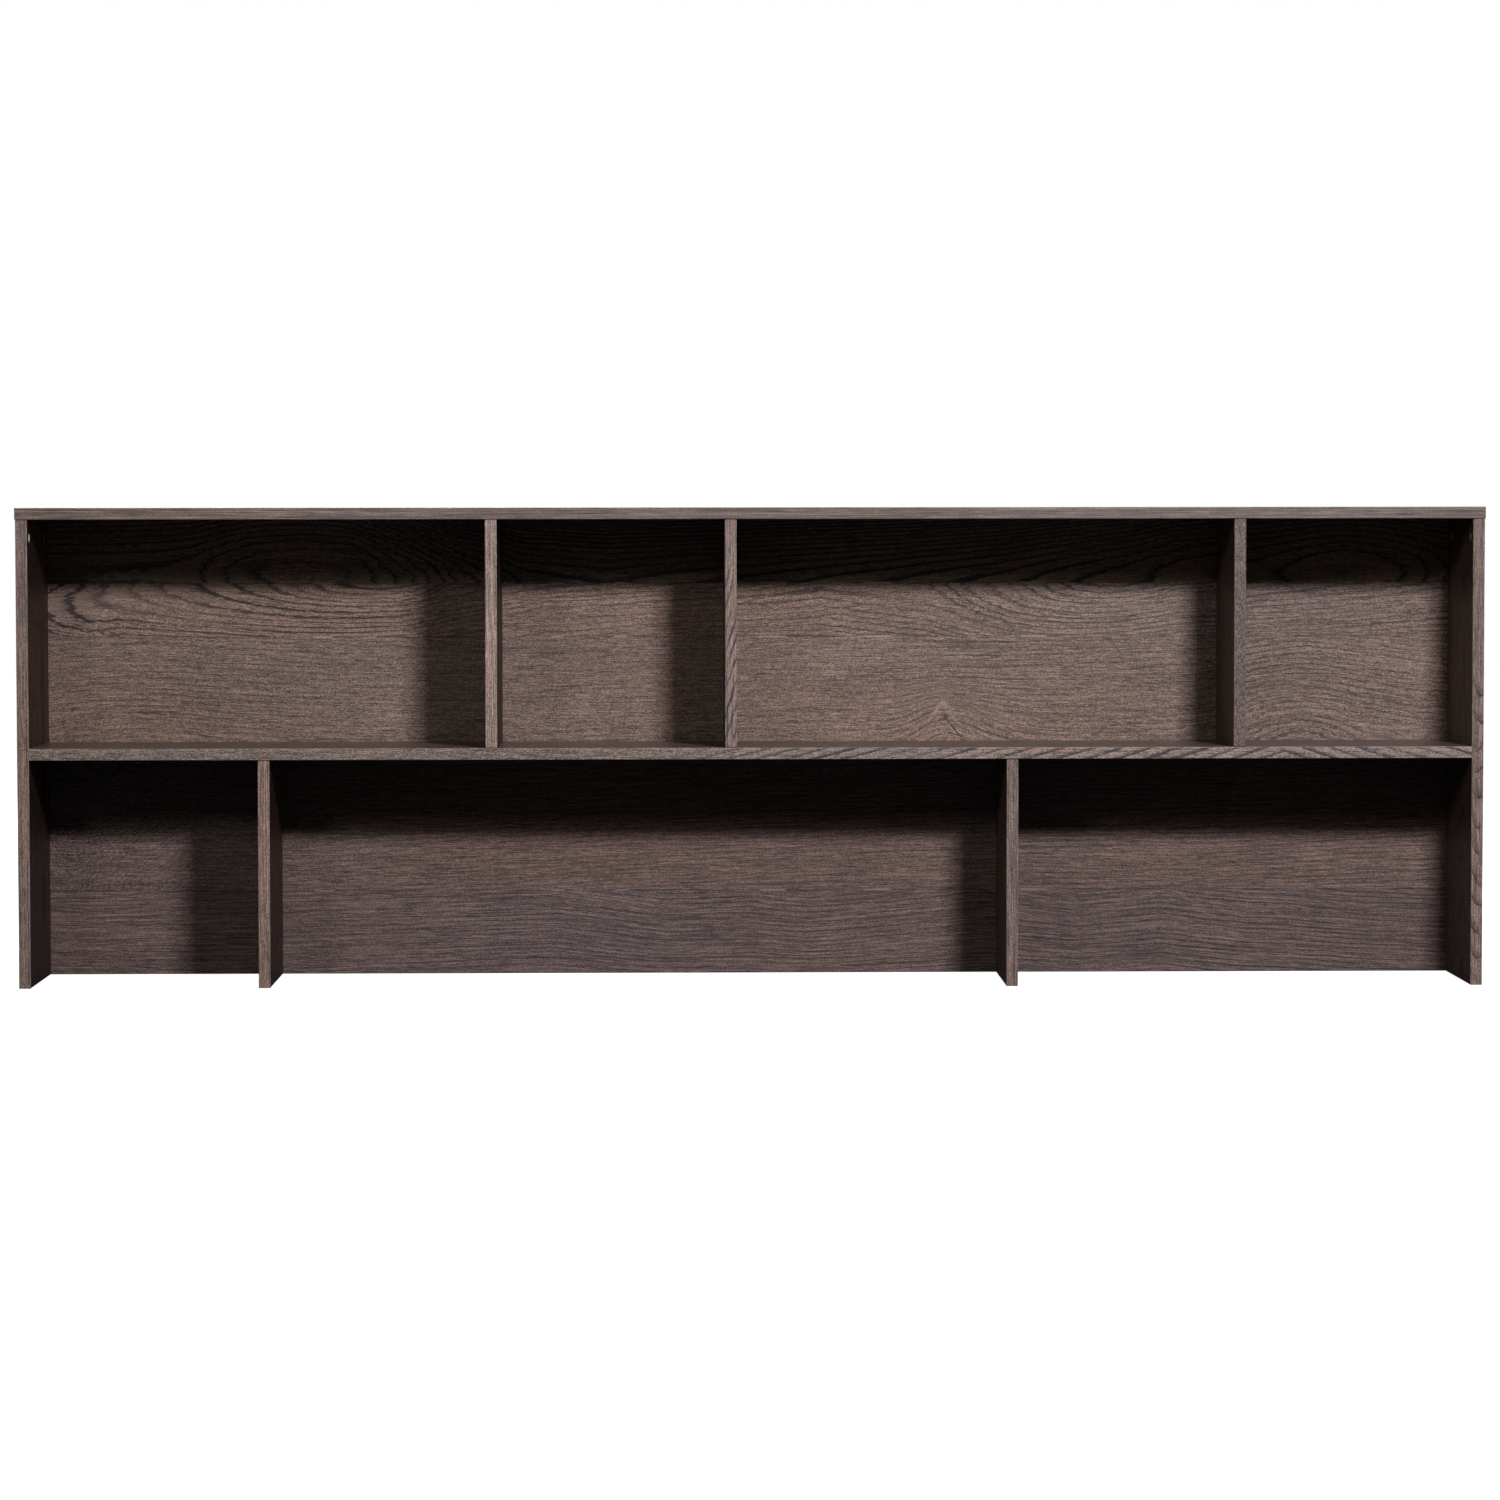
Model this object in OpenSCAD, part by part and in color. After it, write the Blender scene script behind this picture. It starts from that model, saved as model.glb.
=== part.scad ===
// Desk hutch: an open shelf unit that stands on the back of a desk.
// Seven open compartments, four above a full-length shelf and three below it.
// Millimetres. +X to the right, +Y to the rear, +Z up.
// Origin: on the desk surface, at the centre of the footprint.

/* [Carcass] */
// Overall width, over the top panel
body_w = 2000; // [1700:10:2400]
// Overall depth, front edge to rear edge
body_d = 215; // [205:5:360]
// Board thickness
board_t = 16; // [16:1:19]
// How far the top panel stands out past each side panel
top_overhang = 1; // [0.5:0.5:3]

/* [Compartments] */
// Clear width of a small square compartment
cube_w = 310; // [240:5:340]
// Clear width of a double compartment
double_w = 620; // [480:5:640]
// Clear height of the upper row
upper_h = 311; // [240:1:380]
// Clear height of the lower row, over the desk
lower_h = 311; // [240:1:380]

/* [Edge bands] */
// Thickness of the glued edge bands
band_t = 1; // [0.8:0.1:2]
// Radius scraped on the outer corners of a band
band_r = 1; // [0.4:0.1:1.6]

/* [Fittings] */
// Diameter of the cam locks
cam_d = 12; // [10:1:15]
// Height of the cam locks
cam_h = 11.5; // [9:0.5:12]
// Distance from a board's end to the cam's centre
cam_b = 25; // [22:1:34]
// Front fitting, measured back from the front edge
fit_front = 20; // [16:1:40]
// Rear fitting, measured back from the front edge
fit_rear = 170; // [150:1:172]
// Wooden dowel diameter
dowel_d = 8; // [6:1:8]
// Wooden dowel length
dowel_l = 30; // [28:1:35]
// Diameter of the pilot hole for a cam bolt
pilot_d = 5; // [4.5:0.5:5]
// Depth of the pilot hole for a cam bolt
pilot_depth = 11; // [10:0.5:12]

/* [Desk fixing] */
// Diameter of the locating holes in the foot of each side panel
desk_hole_d = 8; // [5:1:8]
// Depth of the locating holes
desk_hole_depth = 22; // [15:1:30]
// Front-to-rear distance between the locating holes
desk_hole_y = 128; // [96:32:128]

/* [Hidden] */
$fn = 48;
eps = 0.01;
oak = [0.42, 0.36, 0.33];
oak_dark = [0.36, 0.30, 0.28];
oak_edge = [0.50, 0.44, 0.41];
zinc = [0.72, 0.72, 0.70];
steel = [0.78, 0.76, 0.66];
beech = [0.80, 0.66, 0.47];
brown = [0.20, 0.15, 0.13];

// Depths
yf = -body_d / 2;                    // front edge
yr = body_d / 2;                     // rear edge
yb = yr - board_t;                   // front face of the back panel
// Heights
z_shelf = lower_h;                   // underside of the shelf
z_upper = z_shelf + board_t;         // top face of the shelf
z_under = z_upper + upper_h;         // underside of the top panel
z_top = z_under + board_t;           // top face of the top panel
// Widths
xo = body_w / 2 - top_overhang;      // outer face of the side panels
xi = xo - board_t;                   // inner face of the side panels
// Left faces of the dividers
u1 = -xi + double_w;
u2 = u1 + board_t + cube_w;
u3 = xi - cube_w - board_t;
l1 = -xi + cube_w;
l2 = xi - double_w - board_t;
uppers = [u1, u2, u3];
lowers = [l1, l2];
// Rows of fittings, front to rear
cam_y = [yf + fit_front, yf + fit_rear];
dowel_y = [yf + fit_front + 32, yf + fit_rear - 32];
half = board_t / 2;
ybc = yr - half;                     // middle of the back panel
back_cam_z = [lower_h * 0.35, z_upper + upper_h * 0.68];
back_dowel_x = [-0.41 * body_w, -0.135 * body_w, 0.135 * body_w, 0.41 * body_w];
shelf_screw_x = [-0.41 * body_w, -0.255 * body_w, -0.09 * body_w, 0.09 * body_w, 0.255 * body_w, 0.41 * body_w];
upper_screw_z = [z_upper + 0.25 * upper_h, z_upper + 0.75 * upper_h];
lower_screw_z = [0.26 * lower_h, 0.74 * lower_h];
in_dowel = dowel_l - 10;             // length of a dowel in a board's end

// ---- Helpers ----

// A board between two corners
module board(a, b) {
  translate(a) cube([b[0] - a[0], b[1] - a[1], b[2] - a[2]]);
}

// Section of an edge band: t thick along +X, w wide along +Y, outer corners rounded
module band_section(w, t = band_t, r = band_r) {
  rr = min(r, t);
  union() {
    translate([0, rr]) square([t, w - 2 * rr]);
    square_rest = t - rr;
    if (square_rest > 0) square([square_rest, w]);
    intersection() {
      translate([t - rr, rr]) circle(rr);
      square([t, w]);
    }
    intersection() {
      translate([t - rr, w - rr]) circle(rr);
      square([t, w]);
    }
  }
}

// Band on a front edge (facing -Y) that runs up: x0 is the board's left face
module band_front_up(x0, z0, z1, w = board_t) {
  translate([x0, yf + band_t, z0]) mirror([0, 1, 0]) rotate([0, 0, 90]) mirror([0, 1, 0])
    linear_extrude(z1 - z0) band_section(w);
}

// Band on a rear edge (facing +Y) that runs up
module band_rear_up(x0, z0, z1, w = board_t) {
  translate([x0, yr - band_t, z0]) rotate([0, 0, 90]) mirror([0, 1, 0])
    linear_extrude(z1 - z0) band_section(w);
}

// Band on a front edge that runs along X: z0 is the board's lower face
module band_front_along(x0, x1, z0) {
  translate([x0, yf + band_t, z0]) rotate([90, 0, 90]) mirror([1, 0, 0])
    linear_extrude(x1 - x0) band_section(board_t);
}

// Band on a rear edge that runs along X
module band_rear_along(x0, x1, z0) {
  translate([x0, yr - band_t, z0]) rotate([90, 0, 90])
    linear_extrude(x1 - x0) band_section(board_t);
}

// Band on an end that faces +X, running along Y: z0 is the board's lower face
module band_end(x0, y0, y1, z0) {
  translate([x0, y1, z0]) rotate([90, 0, 0]) linear_extrude(y1 - y0) band_section(board_t);
}

// Band under a vertical board, facing -Z and running along Y: x0 is the board's left face
module band_foot(x0, y0, y1) {
  translate([x0, y1, band_t]) rotate([90, 0, 0]) rotate([0, 0, -90])
    linear_extrude(y1 - y0) band_section(board_t);
}

// Hole along +Z, +X or +Y, d wide and l long, from the point p
module hole_z(p, d, l) translate(p) cylinder(d = d, h = l);
module hole_x(p, d, l) translate(p) rotate([0, 90, 0]) cylinder(d = d, h = l);
module hole_y(p, d, l) translate(p) rotate([-90, 0, 0]) cylinder(d = d, h = l);

// ---- Fittings, each on its own axis ----

// Cam lock. Its axis is Z, its driven face at z = 0 faces +Z and its body reaches down.
// The bolt enters along +X.
module cam_lock() {
  color(zinc) difference() {
    union() {
      translate([0, 0, -cam_h]) cylinder(d = cam_d - 0.2, h = cam_h - 0.6);
      translate([0, 0, -0.6 - eps]) cylinder(d1 = cam_d - 0.2, d2 = cam_d - 0.8, h = 0.6 + eps);
    }
    // crossed driver recess
    for (a = [45, 135]) rotate([0, 0, a]) translate([-3.1, -0.65, -2.6]) cube([6.2, 1.3, 3]);
    translate([0, 0, -2.6]) cylinder(d = 2.8, h = 3);
    // mouth and curved track that pull the bolt's head
    translate([0, 0, -board_t / 2 + 0.2]) rotate([0, 90, 0]) cylinder(d = 7.4, h = cam_d);
    translate([0, 0, -board_t / 2 + 0.2]) rotate([0, 90, 0]) translate([0, 0, -2.4]) cylinder(d = 7.0, h = 3);
    // pointer to the mouth
    translate([cam_d / 2 - 1.1, 0, -0.5]) cylinder(d = 1.6, h = 1, $fn = 3);
  }
}

// Cam bolt. Its axis is Z: head at the cam's centre, z = 0, and thread up past z = cam_b.
module cam_bolt() {
  n = 5;
  p = (pilot_depth - 1.5) / n;
  color(steel) rotate_extrude() polygon(concat(
    [[0, -2.0], [2.2, -2.0], [3.1, -1.2], [3.1, 0.4], [1.9, 1.6], [1.9, 6.2], [3.3, 7.2], [3.3, cam_b - 1.6], [3.6, cam_b - 1.4],
     [3.6, cam_b - 0.05], [1.9, cam_b - 0.05]],
    [for (i = [0:n - 1], s = [0, 1]) [s == 0 ? 1.9 : pilot_d / 2 - 0.05, cam_b + 0.2 + p * (i + 0.15 + 0.5 * s)]],
    [[1.9, cam_b + pilot_depth - 1.2], [0.8, cam_b + pilot_depth - 0.4], [0, cam_b + pilot_depth - 0.4]]));
}

// Fluted wooden dowel along Z, centred, with chamfered ends
module dowel(l = dowel_l) {
  color(beech) difference() {
    union() {
      cylinder(d = dowel_d - 0.1, h = l - 3, center = true);
      for (s = [0, 1]) mirror([0, 0, s]) translate([0, 0, l / 2 - 1.5]) cylinder(d1 = dowel_d - 0.1, d2 = dowel_d - 2, h = 1.1);
    }
    for (a = [0:45:315]) rotate([0, 0, a]) translate([dowel_d / 2 + 0.15, 0, 0]) cube([0.7, 0.9, l + 1], center = true);
  }
}

// Panel screw along -Y: the head's face is at y = 0
module panel_screw() {
  n = 9;
  color(steel) rotate([90, 0, 0]) difference() {
    rotate_extrude() polygon(concat(
      [[0, 0], [4.6, 0], [4.9, 0.4], [4.9, 2.4], [3.4, 4.2], [3.4, 13.4], [2.4, 14.2]],
      [for (i = [0:n - 1], s = [0, 1]) [s == 0 ? 2.3 : 3.2, 15 + 3 * (i + 0.2 + 0.5 * s)]],
      [[2.3, 43.5], [0, 46]]));
    translate([0, 0, -eps]) cylinder(d = 4.6, h = 2.8, $fn = 6);
  }
}

// ---- Where the fittings go ----

// Children are set with their +Z along the way the bolt points, from the cam's centre.
module at_top_joints() {
  for (s = [-1, 1], y = cam_y) translate([s * (xi + half), y, z_under - cam_b]) rotate([0, 0, s > 0 ? 180 : 0]) children();
}
module at_divider_joints() {
  for (y = cam_y) {
    translate([l1 + half, y, z_shelf - cam_b]) rotate([0, 0, 180]) children();
    translate([l2 + half, y, z_shelf - cam_b]) children();
  }
}
module at_shelf_joints() {
  for (s = [-1, 1], y = cam_y) translate([s * (xi - cam_b), y, z_shelf + half]) rotate([0, s * 90, 0]) children();
}
module at_back_joints() {
  for (s = [-1, 1], z = back_cam_z) translate([s * (xi - cam_b), ybc, z]) rotate([0, s * 90, 0]) children();
}

// Cam locks, with their driven face flush in the board's face
module top_cams(grow = 0) {
  for (s = [-1, 1], y = cam_y) translate([s * xi, y, z_under - cam_b]) rotate([0, -s * 90, 0]) rotate([0, 0, s > 0 ? 0 : 180])
    cam_or_seat(grow);
}
module divider_cams(grow = 0) {
  for (y = cam_y) {
    translate([l1, y, z_shelf - cam_b]) rotate([0, -90, 0]) cam_or_seat(grow);
    translate([l2 + board_t, y, z_shelf - cam_b]) rotate([0, 90, 0]) rotate([0, 0, 180]) cam_or_seat(grow);
  }
}
module shelf_cams(grow = 0) {
  for (s = [-1, 1], y = cam_y) translate([s * (xi - cam_b), y, z_shelf]) rotate([180, 0, 0]) rotate([0, 0, s > 0 ? 0 : 180])
    cam_or_seat(grow);
}
module back_cams(grow = 0) {
  for (s = [-1, 1], z = back_cam_z) translate([s * (xi - cam_b), yr, z]) rotate([-90, 0, 0]) rotate([0, 0, s > 0 ? 0 : 180])
    cam_or_seat(grow);
}
// grow 0 draws the cam itself, grow 1 the drilled seat it sits in
module cam_or_seat(grow) {
  if (grow == 0) cam_lock();
  else translate([0, 0, -cam_h - 0.4]) cylinder(d = cam_d, h = cam_h + 0.4 + 1);
}

// Bores for the cam bolts: 8 mm in the board's end, the pilot in the face it meets
module bolt_end_bores() {
  translate([0, 0, 0]) cylinder(d = 8, h = cam_b + 1);
}
module bolt_pilots() {
  translate([0, 0, cam_b - 1]) cylinder(d = pilot_d, h = pilot_depth + 1);
}

// Dowel centres: each child is a dowel along Z, sunk 10 mm in a face and the rest in an end
module at_top_dowels() {
  for (s = [-1, 1], y = dowel_y) translate([s * (xi + half), y, z_under + 10 - dowel_l / 2]) children();
}
module at_divider_top_dowels() {
  for (x = uppers, y = dowel_y) translate([x + half, y, z_under + 10 - dowel_l / 2]) children();
}
module at_divider_shelf_dowels() {
  for (x = uppers, y = dowel_y) translate([x + half, y, z_upper - 10 + dowel_l / 2]) children();
  for (x = lowers, y = dowel_y) translate([x + half, y, z_shelf + 10 - dowel_l / 2]) children();
}
module at_shelf_dowels() {
  for (s = [-1, 1], y = dowel_y) translate([s * (xi + 10 - dowel_l / 2), y, z_shelf + half]) rotate([0, 90, 0]) children();
}
module at_back_dowels() {
  for (x = back_dowel_x) translate([x, ybc, z_under + 10 - dowel_l / 2]) children();
}
module dowel_hole() cylinder(d = dowel_d, h = dowel_l + 0.6, center = true);

// Panel screws through the back panel
module at_screws() {
  for (x = shelf_screw_x) translate([x, yr, z_shelf + half]) children();
  for (x = uppers, z = upper_screw_z) translate([x + half, yr, z]) children();
  for (x = lowers, z = lower_screw_z) translate([x + half, yr, z]) children();
}
module screw_hole_back() {
  rotate([90, 0, 0]) {
    translate([0, 0, -1]) cylinder(d = 12.2, h = 2.4);
    cylinder(d = 10, h = 4.2);
    translate([0, 0, 4.1]) cylinder(d1 = 10, d2 = 7, h = 1.6);
    cylinder(d = 7, h = board_t + 1);
  }
}
module screw_hole_edge() {
  translate([0, -board_t + 0.5, 0]) rotate([90, 0, 0]) cylinder(d = 6.6, h = 33);
}

// ---- Panels ----

module top_panel() {
  color(oak) difference() {
    board([-body_w / 2 + band_t, yf + band_t, z_under], [body_w / 2 - band_t, yr - band_t, z_top]);
    at_top_joints() bolt_pilots();
    at_top_dowels() dowel_hole();
    at_divider_top_dowels() dowel_hole();
    at_back_dowels() dowel_hole();
  }
}
module top_panel_edge_bands() {
  color(oak_edge) {
    band_front_along(-body_w / 2, body_w / 2, z_under);
    band_rear_along(-body_w / 2, body_w / 2, z_under);
    band_end(body_w / 2 - band_t, yf + band_t, yr - band_t, z_under);
    mirror([1, 0, 0]) band_end(body_w / 2 - band_t, yf + band_t, yr - band_t, z_under);
  }
}

module desk_holes(s) {
  for (y = [-desk_hole_y / 2, desk_hole_y / 2]) hole_z([s * (xi + half), y, -1], desk_hole_d, desk_hole_depth + 1);
}
module side_panel(s) {
  x0 = s > 0 ? xi : -xo;
  color(oak_dark) difference() {
    board([x0, yf + band_t, band_t], [x0 + board_t, yr - band_t, z_under]);
    top_cams(1);
    at_top_joints() bolt_end_bores();
    at_top_dowels() dowel_hole();
    at_shelf_joints() bolt_pilots();
    at_shelf_dowels() dowel_hole();
    at_back_joints() bolt_pilots();
    desk_holes(s);
  }
}
module left_side_panel() side_panel(-1);
module right_side_panel() side_panel(1);
module side_edge_bands(s) {
  x0 = s > 0 ? xi : -xo;
  color(oak_edge) {
    band_front_up(x0, 0, z_under);
    band_rear_up(x0, 0, z_under);
  }
}
module left_side_edge_bands() side_edge_bands(-1);
module right_side_edge_bands() side_edge_bands(1);
module side_foot_band(s) {
  x0 = s > 0 ? xi : -xo;
  color(oak_edge) difference() {
    band_foot(x0, yf + band_t, yr - band_t);
    desk_holes(s);
  }
}
module left_side_foot_band() side_foot_band(-1);
module right_side_foot_band() side_foot_band(1);

module middle_shelf() {
  color(oak) difference() {
    board([-xi, yf + band_t, z_shelf], [xi, yb, z_upper]);
    shelf_cams(1);
    at_shelf_joints() bolt_end_bores();
    at_shelf_dowels() dowel_hole();
    at_divider_joints() bolt_pilots();
    at_divider_shelf_dowels() dowel_hole();
    at_screws() screw_hole_edge();
  }
}
module middle_shelf_front_band() color(oak_edge) band_front_along(-xi, xi, z_shelf);

module back_panel() {
  color(oak) difference() {
    board([-xi, yb, band_t], [xi, yr, z_under]);
    back_cams(1);
    at_back_joints() bolt_end_bores();
    at_back_dowels() dowel_hole();
    at_screws() screw_hole_back();
  }
}
module back_panel_bottom_band() {
  color(oak_edge) translate([-xi, 0, 0]) rotate([90, 0, 90]) translate([yb, band_t]) rotate([0, 0, -90])
    linear_extrude(2 * xi) band_section(board_t);
}

module upper_divider(x0) {
  color(oak_dark) difference() {
    board([x0, yf + band_t, z_upper], [x0 + board_t, yb, z_under]);
    at_divider_top_dowels() dowel_hole();
    at_divider_shelf_dowels() dowel_hole();
    at_screws() screw_hole_edge();
  }
}
module upper_divider_left() upper_divider(u1);
module upper_divider_center() upper_divider(u2);
module upper_divider_right() upper_divider(u3);
module upper_divider_left_band() color(oak_edge) band_front_up(u1, z_upper, z_under);
module upper_divider_center_band() color(oak_edge) band_front_up(u2, z_upper, z_under);
module upper_divider_right_band() color(oak_edge) band_front_up(u3, z_upper, z_under);

module lower_divider(x0) {
  color(oak_dark) difference() {
    board([x0, yf + band_t, band_t], [x0 + board_t, yb, z_shelf]);
    divider_cams(1);
    at_divider_joints() bolt_end_bores();
    at_divider_shelf_dowels() dowel_hole();
    at_screws() screw_hole_edge();
  }
}
module lower_divider_left() lower_divider(l1);
module lower_divider_right() lower_divider(l2);
module lower_divider_left_band() color(oak_edge) band_front_up(l1, 0, z_shelf);
module lower_divider_right_band() color(oak_edge) band_front_up(l2, 0, z_shelf);
module lower_divider_left_foot_band() color(oak_edge) band_foot(l1, yf + band_t, yb);
module lower_divider_right_foot_band() color(oak_edge) band_foot(l2, yf + band_t, yb);

// ---- Fittings in place ----

module top_cam_locks() top_cams();
module shelf_cam_locks() shelf_cams();
module divider_cam_locks() divider_cams();
module back_cam_locks() back_cams();
module top_cam_bolts() at_top_joints() cam_bolt();
module shelf_cam_bolts() at_shelf_joints() cam_bolt();
module divider_cam_bolts() at_divider_joints() cam_bolt();
module back_cam_bolts() at_back_joints() cam_bolt();
module top_dowels() at_top_dowels() dowel();
module shelf_dowels() at_shelf_dowels() dowel();
module divider_top_dowels() at_divider_top_dowels() dowel();
module divider_shelf_dowels() at_divider_shelf_dowels() dowel();
module back_panel_dowels() at_back_dowels() dowel();
module back_panel_screws() at_screws() translate([0, -1.4, 0]) panel_screw();
module screw_cover_caps() {
  color(brown) at_screws() rotate([90, 0, 0]) {
    translate([0, 0, 0.5]) cylinder(d = 12, h = 0.8);
    translate([0, 0, 0]) cylinder(d1 = 11, d2 = 12, h = 0.51);
  }
}

top_panel();
top_panel_edge_bands();
left_side_panel();
left_side_edge_bands();
left_side_foot_band();
right_side_panel();
right_side_edge_bands();
right_side_foot_band();
middle_shelf();
middle_shelf_front_band();
back_panel();
back_panel_bottom_band();
upper_divider_left();
upper_divider_left_band();
upper_divider_center();
upper_divider_center_band();
upper_divider_right();
upper_divider_right_band();
lower_divider_left();
lower_divider_left_band();
lower_divider_left_foot_band();
lower_divider_right();
lower_divider_right_band();
lower_divider_right_foot_band();
top_cam_locks();
top_cam_bolts();
shelf_cam_locks();
shelf_cam_bolts();
divider_cam_locks();
divider_cam_bolts();
back_cam_locks();
back_cam_bolts();
top_dowels();
shelf_dowels();
divider_top_dowels();
divider_shelf_dowels();
back_panel_dowels();
back_panel_screws();
screw_cover_caps();
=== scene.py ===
import math

import bpy
from mathutils import Matrix, Vector


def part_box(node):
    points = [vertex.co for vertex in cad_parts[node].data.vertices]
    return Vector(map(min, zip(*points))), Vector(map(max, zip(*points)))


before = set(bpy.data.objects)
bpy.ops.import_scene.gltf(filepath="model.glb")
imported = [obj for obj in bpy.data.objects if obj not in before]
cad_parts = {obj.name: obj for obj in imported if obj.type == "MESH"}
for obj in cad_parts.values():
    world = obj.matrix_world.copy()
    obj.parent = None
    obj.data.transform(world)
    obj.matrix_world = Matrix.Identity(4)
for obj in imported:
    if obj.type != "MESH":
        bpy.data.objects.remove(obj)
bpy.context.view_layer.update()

scene = bpy.context.scene

# ---------------------------------------------------------------------------------------------
# Small helpers for node trees
# ---------------------------------------------------------------------------------------------


class Net:
    """Adds nodes to a tree. A value can be a number, a tuple or another node's socket."""

    def __init__(self, tree):
        self.t = tree
        self.count = 0

    def add(self, kind, **props):
        n = self.t.nodes.new(kind)
        for k, val in props.items():
            setattr(n, k, val)
        n.location = (180 * (self.count % 24), -220 * (self.count // 24))
        self.count += 1
        return n

    def put(self, socket, value):
        if value is None:
            return
        if isinstance(value, bpy.types.NodeSocket):
            self.t.links.new(value, socket)
        else:
            socket.default_value = value

    def m(self, op, a, b=None, c=None, clamp=False):
        n = self.add("ShaderNodeMath", operation=op, use_clamp=clamp)
        for i, val in enumerate((a, b, c)):
            if val is not None:
                self.put(n.inputs[i], val)
        return n.outputs[0]

    def add_(self, a, b):
        return self.m("ADD", a, b)

    def sub(self, a, b):
        return self.m("SUBTRACT", a, b)

    def mul(self, a, b):
        return self.m("MULTIPLY", a, b)

    def mad(self, a, b, c):
        return self.m("MULTIPLY_ADD", a, b, c)

    def v(self, op, a, b=None, scale=None):
        n = self.add("ShaderNodeVectorMath", operation=op)
        self.put(n.inputs[0], a)
        if b is not None:
            self.put(n.inputs[1], b)
        if scale is not None:
            self.put(n.inputs["Scale"], scale)
        return n.outputs["Value"] if op in ("LENGTH", "DOT_PRODUCT", "DISTANCE") else n.outputs["Vector"]

    def xyz(self, x, y, z):
        n = self.add("ShaderNodeCombineXYZ")
        for i, val in enumerate((x, y, z)):
            self.put(n.inputs[i], val)
        return n.outputs[0]

    def sep(self, vec):
        n = self.add("ShaderNodeSeparateXYZ")
        self.put(n.inputs[0], vec)
        return n.outputs[0], n.outputs[1], n.outputs[2]

    def noise(self, vec, detail=2.0, rough=0.5, scale=1.0, distortion=0.0):
        n = self.add("ShaderNodeTexNoise", noise_dimensions="3D")
        self.put(n.inputs["Vector"], vec)
        self.put(n.inputs["Scale"], scale)
        self.put(n.inputs["Detail"], detail)
        self.put(n.inputs["Roughness"], rough)
        self.put(n.inputs["Distortion"], distortion)
        return n.outputs[0]

    def cells(self, vec, scale=1.0, feature="F1", randomness=1.0):
        n = self.add("ShaderNodeTexVoronoi", feature=feature)
        self.put(n.inputs["Vector"], vec)
        self.put(n.inputs["Scale"], scale)
        self.put(n.inputs["Randomness"], randomness)
        return n

    def smooth(self, x, lo, hi, a=0.0, b=1.0):
        n = self.add("ShaderNodeMapRange", interpolation_type="SMOOTHSTEP", clamp=True)
        for name, val in (("Value", x), ("From Min", lo), ("From Max", hi), ("To Min", a), ("To Max", b)):
            self.put(n.inputs[name], val)
        return n.outputs[0]

    def span(self, x, lo, hi, a=0.0, b=1.0):
        n = self.add("ShaderNodeMapRange", interpolation_type="LINEAR", clamp=True)
        for name, val in (("Value", x), ("From Min", lo), ("From Max", hi), ("To Min", a), ("To Max", b)):
            self.put(n.inputs[name], val)
        return n.outputs[0]

    def lerp(self, f, a, b):
        n = self.add("ShaderNodeMix", data_type="FLOAT")
        self.put(n.inputs[0], f)
        self.put(n.inputs[2], a)
        self.put(n.inputs[3], b)
        return n.outputs[0]

    def mix(self, f, a, b, blend="MIX"):
        n = self.add("ShaderNodeMix", data_type="RGBA", blend_type=blend)
        self.put(n.inputs[0], f)
        self.put(n.inputs[6], a)
        self.put(n.inputs[7], b)
        return n.outputs[2]

    def scale_colour(self, colour, f):
        if isinstance(colour, tuple):
            colour = colour[:3]
        return self.v("SCALE", colour, scale=f)

    def ramp(self, f, stops, interp="LINEAR"):
        n = self.add("ShaderNodeValToRGB")
        n.color_ramp.interpolation = interp
        els = n.color_ramp.elements
        while len(els) < len(stops):
            els.new(0.5)
        for e, (p, c) in zip(els, stops):
            e.position = p
            e.color = c if len(c) == 4 else (*c, 1.0)
        self.put(n.inputs[0], f)
        return n.outputs[0]


def socket(group, name, kind, default=None, out=False):
    s = group.interface.new_socket(name=name, in_out="OUTPUT" if out else "INPUT", socket_type=kind)
    if default is not None:
        s.default_value = default
    return s


# ---------------------------------------------------------------------------------------------
# Smoked oak, as two node groups. Lengths are in metres: u along the grain, v across it.
# ---------------------------------------------------------------------------------------------

OAK_MEAN = (0.150, 0.1085, 0.0905, 1.0)
OAK_PALE = (0.34, 0.26, 0.21, 1.0)
OAK_LINE = (0.028, 0.023, 0.026, 1.0)


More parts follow.
